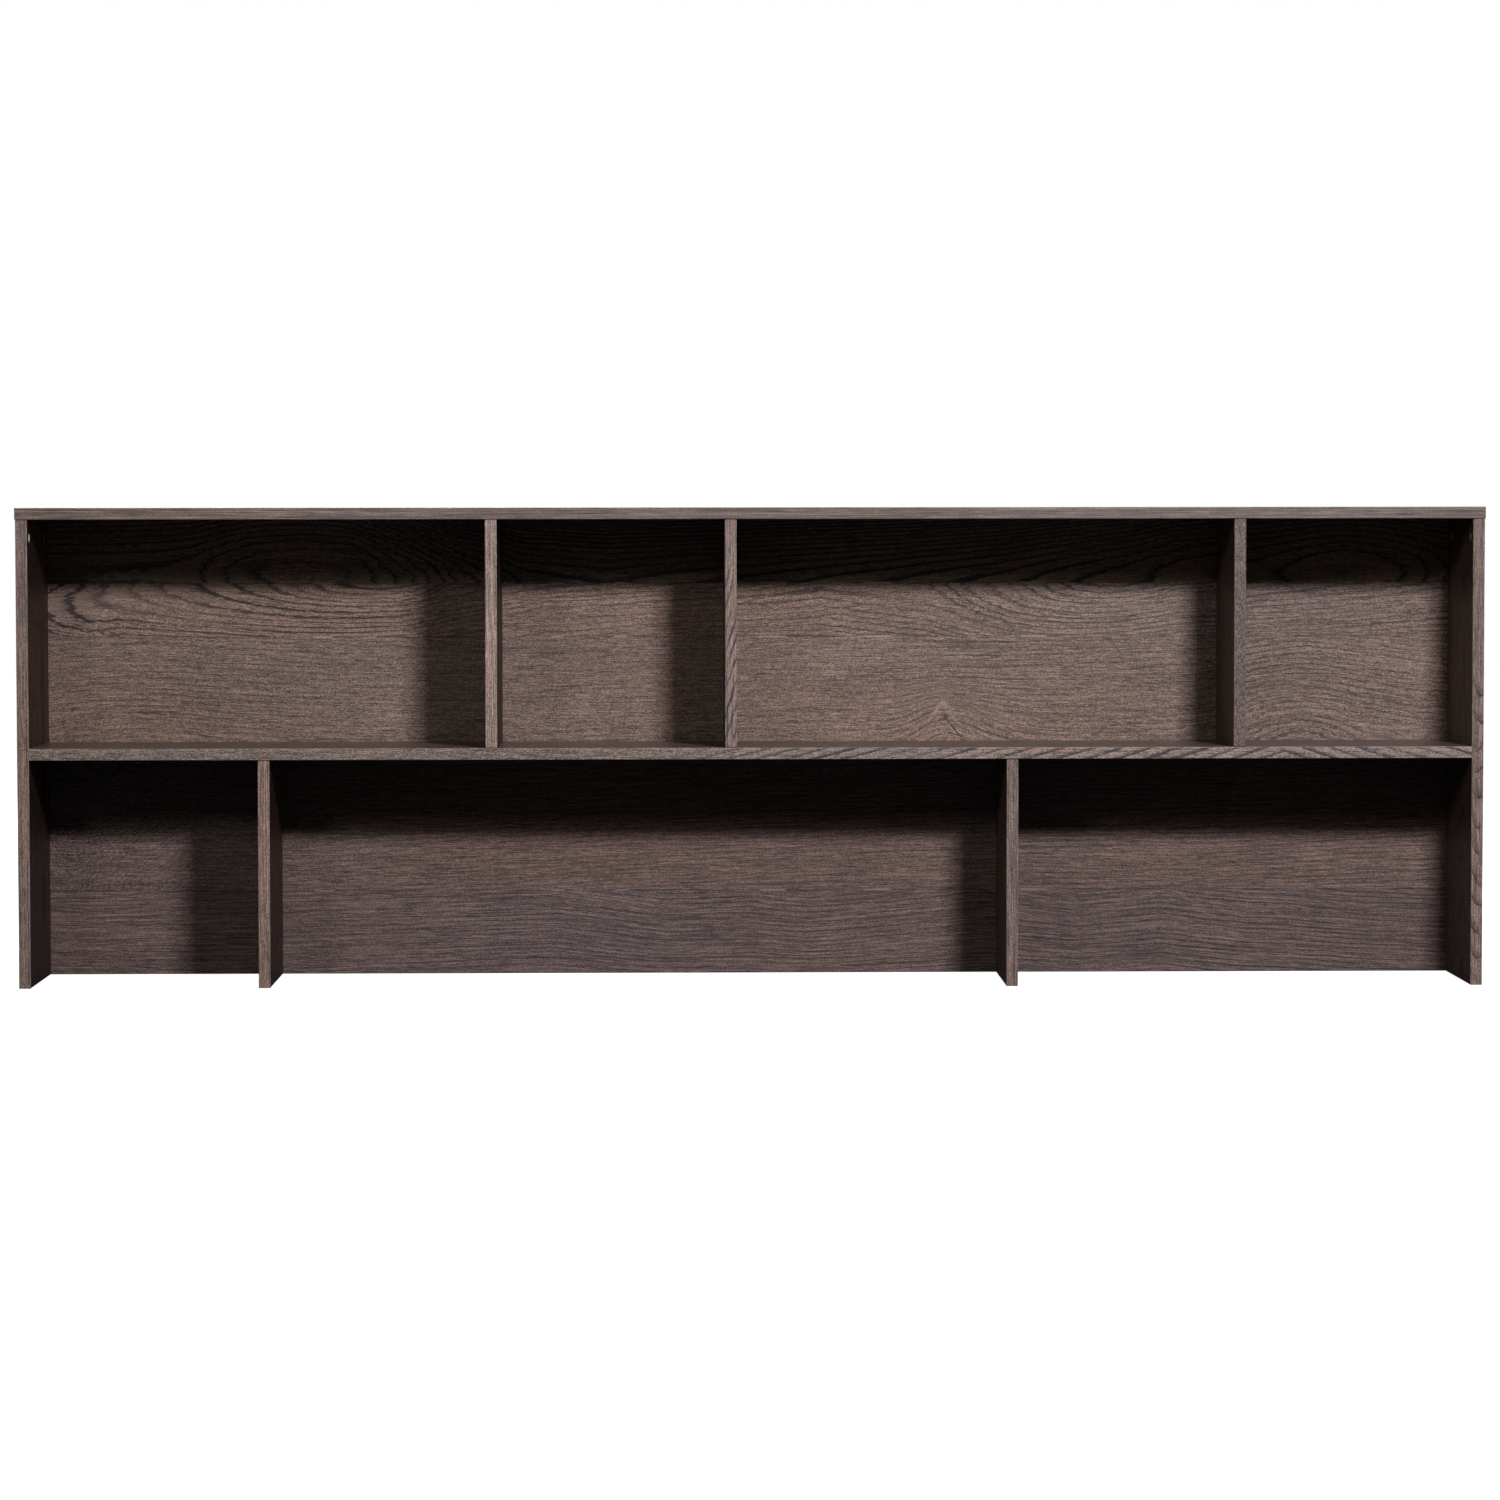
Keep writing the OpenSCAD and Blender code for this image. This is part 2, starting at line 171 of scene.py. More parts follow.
def make_figure():
    """Growth rings cut by the face at a slant. Gives Across, which runs square to the drawn grain
    everywhere, and Count, the number of the ring."""
    g = bpy.data.node_groups.new("grain figure", "ShaderNodeTree")
    for name, default in (
        ("U", 0.0),
        ("V", 0.0),
        ("Seed", 0.0),      # another piece of wood
        ("Heart", 0.0),     # v of the middle of the rings
        ("Depth", 0.05),    # how far the heart lies under the face
        ("Ring", 0.006),    # width of a growth ring
        ("Wave", 0.02),     # slow bending of the grain
        ("Jag", 0.25),      # how broken the ring lines are
        ("Crowd", 0.0),     # 1 when the rings crowd outwards
    ):
        socket(g, name, "NodeSocketFloat", default)
    socket(g, "Across", "NodeSocketFloat", out=True)
    socket(g, "Count", "NodeSocketFloat", out=True)
    n = Net(g)
    i = n.add("NodeGroupInput").outputs
    o = n.add("NodeGroupOutput").inputs
    u, v, seed, wave = i["U"], i["V"], i["Seed"], i["Wave"]
    # The grain bends slowly, and a little quickly.
    bend = n.sub(n.noise(n.xyz(n.mul(u, 1.7), n.mul(v, 5.0), seed), detail=1.5), 0.5)
    ripple = n.sub(n.noise(n.xyz(n.mul(u, 11.0), n.mul(v, 34.0), n.add_(seed, 3.7)), detail=2.0), 0.5)
    v1 = n.mad(bend, n.mul(wave, 2.0), v)
    v1 = n.mad(ripple, n.mul(wave, 0.30), v1)
    dv = n.sub(v1, i["Heart"])
    r = n.m("SQRT", n.add_(n.mul(dv, dv), n.mul(i["Depth"], i["Depth"])))
    side = n.m("ABSOLUTE", dv)
    push = n.m("DIVIDE", n.mul(dv, n.sub(r, side)), n.add_(side, 0.014))
    n.put(o["Across"], n.add_(v1, push))
    jag = n.sub(n.noise(n.xyz(n.mul(u, 48.0), n.mul(v1, 170.0), n.add_(seed, 7.0)), detail=3.0, rough=0.62), 0.5)
    uneven = n.sub(n.noise(n.xyz(n.mul(r, 45.0), n.add_(seed, 5.0), n.mul(u, 1.1)), detail=2.0), 0.5)
    count = n.m("DIVIDE", r, i["Ring"])
    count = n.lerp(i["Crowd"], count, n.mad(count, count, 0.64))
    count = n.mad(uneven, n.lerp(i["Crowd"], 2.0, 0.5), count)
    n.put(o["Count"], n.mad(jag, i["Jag"], count))
    return g


def make_oak():
    g = bpy.data.node_groups.new("smoked oak", "ShaderNodeTree")
    for name, default in (
        ("U", 0.0),
        ("Across", 0.0),
        ("Count", 0.0),
        ("Seed", 0.0),
        ("Lines", 0.5),     # how strongly the rings show
        ("Thin", 0.12),     # how much of a ring its dark line takes
        ("Zone", 0.55),     # how much darker a ring starts than it ends
        ("Pores", 0.5),     # how dark and how many the pores are
        ("Grain", 1.0),     # contrast of the dashes
        ("Fine", 1.0),      # how fine the dashes are across the grain
        ("Long", 1.0),      # how long the dashes are
    ):
        socket(g, name, "NodeSocketFloat", default)
    socket(g, "Color", "NodeSocketColor", out=True)
    socket(g, "Roughness", "NodeSocketFloat", out=True)
    socket(g, "Height", "NodeSocketFloat", out=True)
    n = Net(g)
    i = n.add("NodeGroupInput").outputs
    o = n.add("NodeGroupOutput").inputs
    u, q, count, seed = i["U"], i["Across"], i["Count"], i["Seed"]
    ul = n.m("DIVIDE", u, i["Long"])
    qf = n.mul(q, i["Fine"])
    f = n.m("FRACT", count)
    early = n.m("MAXIMUM", n.smooth(f, 0.03, 0.50, 1.0, 0.0), n.smooth(f, 0.93, 1.0))
    line = n.m("MAXIMUM", n.smooth(f, n.mul(i["Thin"], 0.45), n.mul(i["Thin"], 1.10), 1.0, 0.0), n.smooth(f, n.sub(1.0, n.mul(i["Thin"], 0.30)), 1.0))
    # some rings are strong and some hardly show, and every one comes and goes
    strength = n.noise(n.xyz(n.mul(n.m("FLOOR", count), 0.37), n.mul(u, 3.0), n.add_(seed, 2.0)), detail=1.0)
    strength = n.smooth(strength, 0.34, 0.56, 0.45, 1.0)
    early_s = n.mul(n.mul(early, i["Lines"]), strength)
    line_s = n.mul(n.mul(line, i["Lines"]), strength)

    # Short dashes along the grain, dark pores and pale fibres in about equal parts
    def dashes(along, across, shift, detail, where, base=ul):
        # each row of the noise is shifted against the next, so that its grid never shows
        x = n.mad(q, shift, n.mul(base, along))
        return n.sub(n.noise(n.xyz(x, n.mul(qf, across), n.mad(q, across * 0.43, n.add_(seed, where))), detail=detail, rough=0.5), 0.5)

    speck = dashes(400.0, 950.0, 171.0, 0.0, 44.0, u)
    dash = dashes(100.0, 760.0, 263.0, 1.0, 0.0)
    dash_long = dashes(20.0, 640.0, 157.0, 1.0, 6.0)
    fibre = dashes(30.0, 1500.0, 411.0, 1.0, 4.0)
    streak = n.sub(n.noise(n.xyz(n.mul(u, 4.0), n.mul(q, 70.0), n.add_(seed, 16.0)), detail=2.0, rough=0.6), 0.5)
    clump = n.sub(n.noise(n.xyz(n.mul(u, 13.0), n.mul(q, 60.0), n.add_(seed, 9.0)), detail=1.0), 0.5)
    blotch = n.sub(n.noise(n.xyz(n.mul(u, 2.6), n.mul(q, 7.0), n.add_(seed, 14.0)), detail=2.0, rough=0.55), 0.5)
    t = n.mul(dash, 2.3)
    t = n.mad(dash_long, 2.2, t)
    # the specks are weaker where the dashes are long
    t = n.mad(n.mul(speck, n.m("MINIMUM", 1.0, n.m("DIVIDE", 1.75, n.add_(i["Long"], 0.75)))), 3.4, t)
    t = n.mad(fibre, 0.9, t)
    t = n.mul(t, i["Grain"])
    t = n.mad(streak, 0.42, t)
    t = n.mad(clump, 0.10, t)
    t = n.sub(t, n.mul(n.mad(i["Lines"], -0.22, early_s), i["Zone"]))
    # pores: the darkest dashes, drawn deeper, most of them where a ring starts
    p = n.mad(dash_long, 0.7, dash)
    p = n.mad(early_s, 0.09, n.mul(p, -1.0))
    p = n.mad(n.sub(i["Pores"], 0.5), 0.20, p)
    pore = n.smooth(p, 0.13, 0.26)
    tone = n.m("EXPONENT", t)
    tone = n.span(tone, 0.0, 2.1, 0.0, 2.1)
    base = n.scale_colour(OAK_MEAN, tone)
    base = n.mix(n.mul(pore, 0.62), base, (0.040, 0.032, 0.033, 1.0))
    base = n.mix(n.mul(line_s, 0.96), base, OAK_LINE)
    base = n.scale_colour(base, n.mad(blotch, 0.42, 1.0))
    # slow changes of warmth over the leaf, and quick ones from fibre to fibre
    warm = n.noise(n.xyz(n.mul(u, 1.6), n.mul(q, 3.1), n.add_(seed, 31.0)), detail=1.0)
    warm = n.mad(n.sub(n.noise(n.xyz(n.mul(u, 60.0), n.mul(q, 300.0), n.add_(seed, 37.0)), detail=0.0), 0.5), 0.8, warm)
    base = n.mix(1.0, base, n.mix(n.smooth(warm, 0.25, 0.75), (1.04, 0.995, 0.955, 1.0), (0.96, 1.0, 1.04, 1.0)), "MULTIPLY")
    n.put(o["Color"], base)
    rough = n.mad(pore, 0.18, 0.46)
    rough = n.mad(fibre, 0.14, rough)
    n.put(o["Roughness"], rough)
    h = n.mad(pore, -0.7, 0.8)
    h = n.mad(line_s, -0.35, h)
    h = n.mad(dash, 0.9, h)
    h = n.mad(fibre, 0.18, h)
    n.put(o["Height"], h)
    return g


def make_chipboard():
    """Particle board, seen in bores and on the edges that no band covers. Metres."""
    g = bpy.data.node_groups.new("particle board", "ShaderNodeTree")
    socket(g, "Place", "NodeSocketVector")
    socket(g, "Color", "NodeSocketColor", out=True)
    socket(g, "Height", "NodeSocketFloat", out=True)
    n = Net(g)
    i = n.add("NodeGroupInput").outputs
    o = n.add("NodeGroupOutput").inputs
    warped = n.v("ADD", i["Place"], n.v("SCALE", n.add("ShaderNodeTexNoise").outputs["Color"], scale=0.0))
    c = n.cells(warped, scale=420.0)
    chip = n.ramp(c.outputs["Color"], [(0.0, (0.30, 0.195, 0.115)), (0.35, (0.46, 0.33, 0.21)), (0.7, (0.56, 0.43, 0.29)), (1.0, (0.40, 0.27, 0.16))])
    gap = n.smooth(c.outputs["Distance"], 0.28, 0.62)
    dust = n.noise(i["Place"], detail=4.0, rough=0.7, scale=900.0)
    col = n.mix(n.mul(gap, 0.6), chip, (0.14, 0.085, 0.05, 1.0))
    col = n.scale_colour(col, n.span(dust, 0.25, 0.75, 0.8, 1.18))
    n.put(o["Color"], col)
    n.put(o["Height"], n.mad(gap, -1.0, dust))
    return g


FIGURE = make_figure()
OAK = make_oak()
CHIP = make_chipboard()
AX = {"X": 0, "Y": 1, "Z": 2}


def new_material(name):
    mat = bpy.data.materials.new(name)
    mat.use_nodes = True
    mat.node_tree.nodes.clear()
    n = Net(mat.node_tree)
    out = n.add("ShaderNodeOutputMaterial")
    bsdf = n.add("ShaderNodeBsdfPrincipled")
    mat.node_tree.links.new(bsdf.outputs[0], out.inputs[0])
    return mat, n, bsdf


OAK_INPUTS = ("Seed", "Lines", "Thin", "Zone", "Pores", "Grain", "Fine", "Long")
FIGURE_INPUTS = ("Seed", "Heart", "Depth", "Ring", "Wave", "Jag", "Crowd")


def figure_node(n, u, v, vals):
    node = n.add("ShaderNodeGroup", node_tree=FIGURE)
    n.put(node.inputs["U"], u)
    n.put(node.inputs["V"], v)
    for k in FIGURE_INPUTS:
        if k in vals:
            n.put(node.inputs[k], vals[k])
    return node.outputs["Across"], node.outputs["Count"]


def oak_node(n, u, across, count, vals):
    node = n.add("ShaderNodeGroup", node_tree=OAK)
    n.put(node.inputs["U"], u)
    n.put(node.inputs["Across"], across)
    n.put(node.inputs["Count"], count)
    for k in OAK_INPUTS:
        if k in vals:
            n.put(node.inputs[k], vals[k])
    return node.outputs["Color"], node.outputs["Roughness"], node.outputs["Height"]


def grain_place(n, along, across, du=0.0, dv=0.0):
    """(u, v, w) of a board or a band from the object's own place, and the parts of that place."""
    tc = n.add("ShaderNodeTexCoord")
    xyz = n.sep(tc.outputs["Object"])
    thick = ({0, 1, 2} - {AX[along], AX[across]}).pop()
    return tc, n.add_(xyz[AX[along]], du), n.add_(xyz[AX[across]], dv), xyz[thick], thick


def curves(n, u, stops):
    """Depth, heart and strength of a figure along u, drawn as one ramp over -1 m .. 1 m."""
    node = n.add("ShaderNodeValToRGB")
    node.color_ramp.interpolation = "LINEAR"
    els = node.color_ramp.elements
    while len(els) < len(stops):
        els.new(0.5)
    for e, (at, depth, heart, strength) in zip(els, stops):
        e.position = (at + 1.0) / 2.0
        e.color = (depth / 0.2, heart, strength, 1.0)
    n.put(node.inputs[0], n.mad(u, 0.5, 0.5))
    rgb = n.add("ShaderNodeSeparateColor")
    n.put(rgb.inputs[0], node.outputs[0])
    return n.mul(rgb.outputs[0], 0.2), rgb.outputs[1], rgb.outputs[2]


def finish_board(n, bsdf, tc, thick, parts, colour_out, specular, gloss, strength=0.55):
    """Particle board wherever the surface doesn't face along the board's thickness."""
    colour, rough, height = parts
    chip = n.add("ShaderNodeGroup", node_tree=CHIP)
    n.put(chip.inputs["Place"], tc.outputs["Object"])
    facing = n.m("ABSOLUTE", n.sep(tc.outputs["Normal"])[thick])
    decor = n.smooth(facing, 0.45, 0.6)
    n.put(bsdf.inputs["Base Color"], n.mix(decor, chip.outputs["Color"], colour_out))
    n.put(bsdf.inputs["Roughness"], n.lerp(decor, 0.85, n.add_(rough, gloss)))
    bsdf.inputs["Specular IOR Level"].default_value = specular
    bump = n.add("ShaderNodeBump")
    bump.inputs["Strength"].default_value = strength
    bump.inputs["Distance"].default_value = 0.00022
    n.put(bump.inputs["Height"], n.lerp(decor, chip.outputs["Height"], height))
    n.put(bsdf.inputs["Normal"], bump.outputs[0])


def tinted(n, colour, tone, tint):
    return n.mix(1.0, colour, (tint[0] * tone, tint[1] * tone, tint[2] * tone, 1.0), "MULTIPLY")


def board_material(name, along, across, mid, tone=1.0, du=0.0, dv=0.0, tint=(1.0, 1.0, 1.0), specular=0.5, gloss=0.0, Skew=0.0, Rise=0.0, Depth=0.05, **oak):
    """A board with the same decor on both faces, but another leaf on each."""
    mat, n, bsdf = new_material(name)
    tc, u, v, w, thick = grain_place(n, along, across, du, dv)
    side = n.m("GREATER_THAN", w, mid)
    u = n.mad(side, 0.731, u)
    comb = n.sub(n.noise(n.xyz(n.mul(u, 24.0), n.mul(v, 360.0), oak.get("Seed", 0.0) + 2.0), detail=2.0), 0.5)
    comb = n.mad(comb, 0.030, u)
    drift = n.sub(n.noise(n.xyz(n.mul(comb, 1.9), oak.get("Seed", 0.0) + 11.0, 0.0), detail=1.0), 0.5)
    depth = n.mad(drift, 0.10, n.mad(comb, Rise, Depth))
    vals = dict(oak, Depth=depth)
    q, count = figure_node(n, u, n.mad(u, Skew, v), vals)
    parts = oak_node(n, u, q, count, vals)
    finish_board(n, bsdf, tc, thick, parts, tinted(n, parts[0], tone, tint), specular, gloss)
    return mat


def back_material(name, mid, planks, specular=0.3):
    """The back panel's decor: long planks from the top down, each with its own figure. The first
    value of each plank is the height of the seam under it."""
    mat, n, bsdf = new_material(name)
    tc, u, v_raw, w, thick = grain_place(n, "X", "Z")
    side = n.m("GREATER_THAN", w, mid)
    u = n.lerp(side, u, n.mul(u, -0.96))   # the rear face shows the figure the other way round
    v = knot_bend(n, u, v_raw)
    comb = n.sub(n.noise(n.xyz(n.mul(u, 24.0), n.mul(v_raw, 360.0), 2.2), detail=2.0), 0.5)
    comb = n.mad(comb, 0.020, n.mul(n.sub(n.noise(n.xyz(n.mul(u, 12.0), n.mul(v_raw, 60.0), 3.1), detail=1.0), 0.5), 0.016))
    combed = n.add_(u, comb)
    rows = [(low, dict(p), curves(n, combed, stops)) for low, p, stops in planks]
    picks = [None if k == 0 else n.m("GREATER_THAN", v_raw, rows[k - 1][0]) for k in range(len(rows))]

    def choose(values):
        cur = values[-1]
        for k in range(len(values) - 1, 0, -1):
            cur = n.lerp(picks[k], cur, values[k - 1])
        return cur

    vals = {k: choose([p[k] for _, p, _ in rows]) for k in ("Seed", "Ring", "Wave", "Jag", "Crowd", "Thin", "Zone", "Pores", "Grain", "Fine", "Long")}
    vals["Seed"] = n.mad(side, 17.0, vals["Seed"])
    vals["Depth"], vals["Heart"], vals["Lines"] = (choose([c[k] for _, _, c in rows]) for k in range(3))
    q, count = figure_node(n, u, v, vals)
    # where the rings crowd, a line takes more of each ring, so that it keeps its width
    ring_at = n.m("SQRT", n.m("MAXIMUM", count, 1.0))
    vals["Thin"] = n.lerp(vals["Crowd"], vals["Thin"], n.mul(vals["Thin"], n.mul(ring_at, 0.5)))
    parts = oak_node(n, u, q, count, vals)
    colour = parts[0]
    seam = None
    for low, p, _ in rows[:-1]:
        if p.get("Seam", 1.0) == 0.0:
            continue
        line = n.smooth(n.m("ABSOLUTE", n.sub(v_raw, low)), 0.0004, 0.0015, 1.0, 0.0)
        seam = line if seam is None else n.m("MAXIMUM", seam, line)
    broken = n.smooth(n.noise(n.xyz(n.mul(u, 26.0), n.mul(v_raw, 300.0), 4.4), detail=2.0), 0.42, 0.60)
    pale = n.smooth(n.noise(n.xyz(n.mul(u, 14.0), 0.0, 8.8), detail=1.0), 0.60, 0.65)
    colour = n.mix(n.mul(n.mul(seam, broken), 0.65), colour, OAK_LINE)
    colour = n.mix(n.mul(n.mul(seam, pale), 0.80), colour, OAK_PALE)
    colour = knot_colour(n, u, v_raw, colour)
    colour = n.mix(1.0, colour, choose_colour(n, picks, [p["Tint"] for _, p, _ in rows]), "MULTIPLY")
    finish_board(n, bsdf, tc, thick, parts, colour, specular, 0.0)
    return mat


def choose_colour(n, picks, tints):
    cur = (*tints[-1], 1.0)
    for k in range(len(tints) - 1, 0, -1):
        cur = n.mix(picks[k], cur, (*tints[k - 1], 1.0))
    return cur


def band_material(name, along, across, mid, half=0.008, tone=1.0, du=0.0, dv=0.0, tint=(1.0, 1.0, 1.0), specular=0.5, figure=None, ends=None, painted_light_ramp=None, Skew=0.0, Rise=0.0, Depth=0.05, **oak):
    """A printed edge band. Its scraped corners are paler and smoother, and broken by small knocks."""
    mat, n, bsdf = new_material(name)
    tc, u, v, w, thick = grain_place(n, along, across, du, 0.0)
    off = n.m("ABSOLUTE", n.sub(v, mid))
    vals = dict(oak)
    vb = n.add_(v, dv)
    if figure is None:
        vals["Depth"] = n.mad(u, Rise, Depth)
        q, count = figure_node(n, u, n.mad(u, Skew, vb), vals)
    else:
        q, count, vals["Lines"] = figure(n, u, n.sub(v, mid), vals.get("Seed", 0.0))
    colour, rough, height = oak_node(n, u, q, count, vals)
    colour = tinted(n, colour, tone, tint)
    if painted_light_ramp is not None:
        # painted light and shade: a brightness ramp along the band (change per metre, where it is nothing)
        colour = n.mix(1.0, colour, n.mad(n.sub(u, painted_light_ramp[1]), painted_light_ramp[0], 1.0), "MULTIPLY")
    corner = n.smooth(off, half - 0.0011, half - 0.0002)
    knocks = n.smooth(n.noise(n.xyz(n.mul(u, 85.0), n.mul(v, 160.0), 2.0), detail=3.0, rough=0.65), 0.44, 0.68)
    wear = n.mul(corner, n.mad(knocks, 0.55, 0.25))
    colour = n.mix(wear, colour, (0.265, 0.212, 0.190, 1.0))
    if ends is not None:
        # painted shade: the thin dark line where the band butts against the next board, standing in for the shadow in
        # the joint
        near = n.m("MINIMUM", n.m("ABSOLUTE", n.sub(u, ends[0])), n.m("ABSOLUTE", n.sub(u, ends[1])))
        colour = n.mix(n.smooth(near, 0.0004, 0.0016, 0.85, 0.0), colour, (0.016, 0.012, 0.012, 1.0))
    n.put(bsdf.inputs["Base Color"], colour)
    n.put(bsdf.inputs["Roughness"], n.add_(rough, n.mul(corner, -0.08)))
    bsdf.inputs["Specular IOR Level"].default_value = specular
    bump = n.add("ShaderNodeBump")
    bump.inputs["Strength"].default_value = 0.45
    bump.inputs["Distance"].default_value = 0.00016
    n.put(bump.inputs["Height"], n.mad(knocks, n.mul(corner, -0.4), height))
    n.put(bsdf.inputs["Normal"], bump.outputs[0])
    return mat


def metal_material(name, colour, dull, rough, along=None, scale=1.0, cast=False, metallic=1.0):
    """Zinc or plated steel, with a cloudy skin, fine marks and a little dulling."""
    mat, n, bsdf = new_material(name)
    tc = n.add("ShaderNodeTexCoord")
    p = tc.outputs["Object"]
    cloud = n.noise(p, detail=3.0, rough=0.55, scale=260.0 * scale)
    marks = n.noise(n.v("MULTIPLY", p, (1.0, 1.0, 6.0) if along is None else along), detail=3.0, rough=0.7, scale=900.0 * scale)
    pits = n.smooth(n.noise(p, detail=2.0, rough=0.6, scale=1500.0 * scale), 0.60, 0.74)
    col = n.mix(n.smooth(cloud, 0.32, 0.7), colour, dull)
    col = n.mix(n.mul(pits, 0.45), col, tuple(c * 0.35 for c in dull[:3]) + (1.0,))
    n.put(bsdf.inputs["Base Color"], col)
    bsdf.inputs["Metallic"].default_value = metallic
    r = n.mad(n.sub(marks, 0.5), 0.25, rough)
    r = n.mad(cloud, 0.16, r)
    n.put(bsdf.inputs["Roughness"], r)
    bump = n.add("ShaderNodeBump")
    bump.inputs["Strength"].default_value = 0.5 if cast else 0.3
    bump.inputs["Distance"].default_value = 0.00005
    n.put(bump.inputs["Height"], n.mad(pits, -0.6, marks))
    n.put(bsdf.inputs["Normal"], bump.outputs[0])
    return mat


def dowel_material(name, along):
    mat, n, bsdf = new_material(name)
    tc = n.add("ShaderNodeTexCoord")
    c = list(n.sep(tc.outputs["Object"]))
    stretch = [900.0, 900.0, 900.0]
    stretch[AX[along]] = 60.0
    p = n.xyz(*[n.mul(s, k) for s, k in zip(c, stretch)])
    fibre = n.noise(p, detail=3.0, rough=0.6)
    ray = n.smooth(n.noise(n.v("MULTIPLY", p, (2.2, 2.2, 2.2)), detail=1.0), 0.60, 0.72)
    col = n.ramp(fibre, [(0.25, (0.42, 0.285, 0.165)), (0.5, (0.56, 0.40, 0.245)), (0.75, (0.66, 0.49, 0.315))])
    col = n.mix(n.mul(ray, 0.6), col, (0.30, 0.17, 0.085, 1.0))
    n.put(bsdf.inputs["Base Color"], col)
    n.put(bsdf.inputs["Roughness"], n.mad(fibre, 0.2, 0.58))
    bump = n.add("ShaderNodeBump")
    bump.inputs["Strength"].default_value = 0.4
    bump.inputs["Distance"].default_value = 0.0001
    n.put(bump.inputs["Height"], fibre)
    n.put(bsdf.inputs["Normal"], bump.outputs[0])
    return mat


def cap_material():
    mat, n, bsdf = new_material("cap_plastic")
    tc = n.add("ShaderNodeTexCoord")
    p = tc.outputs["Object"]
    grain = n.noise(p, detail=2.0, rough=0.6, scale=2600.0)
    scuff = n.smooth(n.noise(n.v("MULTIPLY", p, (1.0, 1.0, 3.0)), detail=3.0, rough=0.7, scale=420.0), 0.56, 0.72)
    cloud = n.noise(p, detail=2.0, scale=60.0)
    col = n.mix(n.smooth(cloud, 0.3, 0.7), (0.060, 0.043, 0.037, 1.0), (0.074, 0.054, 0.047, 1.0))
    col = n.mix(n.mul(scuff, 0.35), col, (0.13, 0.10, 0.09, 1.0))
    n.put(bsdf.inputs["Base Color"], col)
    n.put(bsdf.inputs["Roughness"], n.mad(scuff, 0.18, n.mad(grain, 0.14, 0.36)))
    bump = n.add("ShaderNodeBump")
    bump.inputs["Strength"].default_value = 0.35
    bump.inputs["Distance"].default_value = 0.00005
    n.put(bump.inputs["Height"], n.mad(scuff, -0.5, grain))
    n.put(bsdf.inputs["Normal"], bump.outputs[0])
    return mat


# ---------------------------------------------------------------------------------------------
# Materials of the boards
# ---------------------------------------------------------------------------------------------


def dress(node, mat):
    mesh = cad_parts[node].data
    mesh.materials.clear()
    mesh.materials.append(mat)


def mid_of(node, axis):
    lo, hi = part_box(node)
    return (lo[AX[axis]] + hi[AX[axis]]) / 2


KNOT = (0.272, 0.362)


def gauss(n, a, b, wa, wb):
    x = n.m("DIVIDE", a, wa)
    y = n.m("DIVIDE", b, wb)
    return n.m("EXPONENT", n.mul(n.add_(n.mul(x, x), n.mul(y, y)), -1.0))


def knot_bend(n, u, v):
    """The grain climbs over a knot in the back panel and fans out to the right of it."""
    a = n.sub(u, KNOT[0])
    b = n.sub(v, KNOT[1] - 0.010)
    wide = n.lerp(n.m("GREATER_THAN", a, 0.0), 0.045, 0.080)
    return n.mad(gauss(n, a, b, wide, 0.050), -0.032, v)


def knot_colour(n, u, v, colour):
    """A pale arch over the knot, and the small dark heart of it."""
    ragged = n.noise(n.xyz(n.mul(u, 120.0), n.mul(v, 120.0), 6.0), detail=2.0)
    a = n.sub(u, KNOT[0])
    b = n.sub(v, KNOT[1])
    arch = n.sub(b, n.mad(n.m("ABSOLUTE", a), -1.3, 0.020))
    arch = n.m("EXPONENT", n.mul(n.mul(arch, arch), -1.0 / (0.0050 * 0.0050)))
    arch = n.mul(arch, gauss(n, a, n.sub(b, 0.008), 0.022, 0.022))
    arch = n.mul(arch, n.smooth(ragged, 0.35, 0.60))
    colour = n.mix(n.mul(arch, 0.75), colour, OAK_PALE)
    # a bark line that runs from the knot down to the right
    bark = n.mad(n.sub(ragged, 0.5), 0.006, n.mad(a, 1.25, b))
    bark = n.smooth(n.m("ABSOLUTE", n.add_(bark, -0.001)), 0.0008, 0.0026, 1.0, 0.0)
    bark = n.mul(bark, n.mul(n.smooth(a, 0.001, 0.005), n.smooth(a, 0.026, 0.038, 1.0, 0.0)))
    colour = n.mix(n.mul(bark, 0.75), colour, OAK_LINE)
    heart = gauss(n, n.sub(a, 0.004), n.add_(b, 0.001), 0.0040, 0.0026)
    return n.mix(n.mul(heart, 0.8), colour, OAK_LINE)


